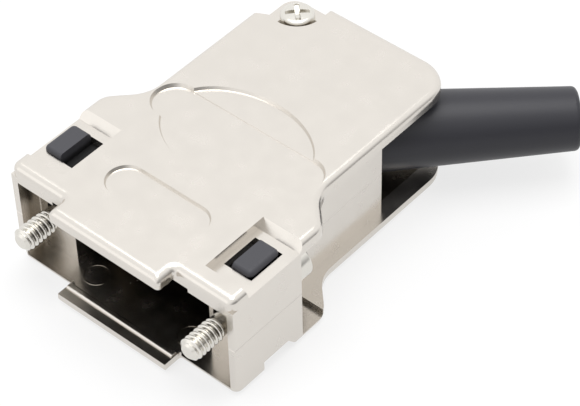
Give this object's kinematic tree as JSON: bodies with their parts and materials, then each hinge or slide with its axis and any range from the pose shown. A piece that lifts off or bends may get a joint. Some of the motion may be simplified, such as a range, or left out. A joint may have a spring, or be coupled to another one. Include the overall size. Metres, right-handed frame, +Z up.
{
  "type": "d-sub hood",
  "caption": "Angled die-cast backshell for a small d-sub connector, with jackscrews, finger slides, a cable clamp inside and a tapering rubber boot at 45 degrees.",
  "frame": {"origin": "midway between the two jackscrew axes, on the flat front faces of the ears, at mid-height on the joint between the halves", "axes": "+X towards the side that the cable leaves from, +Y from the connector's face to the rear, +Z up through the upper half"},
  "size_m": [0.0418, 0.0578, 0.015],
  "materials": {
    "nickel_plate": "satin nickel plate on die-cast zinc",
    "screw_steel": "bright plated steel",
    "clamp_steel": "plain plated strip",
    "black_plastic": "moulded, satin",
    "black_rubber": "smooth moulded rubber"
  },
  "bodies": {
    "housing": {"upper_shell": "nickel_plate", "lower_shell": "nickel_plate", "cover_screw": "screw_steel", "cable_boot": "black_rubber", "clamp_strap": "clamp_steel", "left_clamp_screw": "screw_steel", "right_clamp_screw": "screw_steel"},
    "right_jackscrew": {"right_jackscrew": "screw_steel"},
    "left_jackscrew": {"left_jackscrew": "screw_steel"},
    "right_slide": {"right_latch_slide": "black_plastic"},
    "left_slide": {"left_latch_slide": "black_plastic"}
  },
  "joints": [
    {"name": "right_jackscrew_turn", "type": "hinge", "parent": "housing", "child": "right_jackscrew", "pos_m": [0.0125, 0, 0], "axis": [0, 1, 0], "continuous": true},
    {"name": "left_jackscrew_turn", "type": "hinge", "parent": "housing", "child": "left_jackscrew", "pos_m": [-0.0125, 0, 0], "axis": [0, 1, 0], "continuous": true},
    {"name": "right_slide_out", "type": "slide", "parent": "housing", "child": "right_slide", "axis": [1, 0, 0], "range_m": [0, 0.0011]},
    {"name": "left_slide_in", "type": "slide", "parent": "housing", "child": "left_slide", "axis": [1, 0, 0], "range_m": [0, 0.0011]}
  ]
}
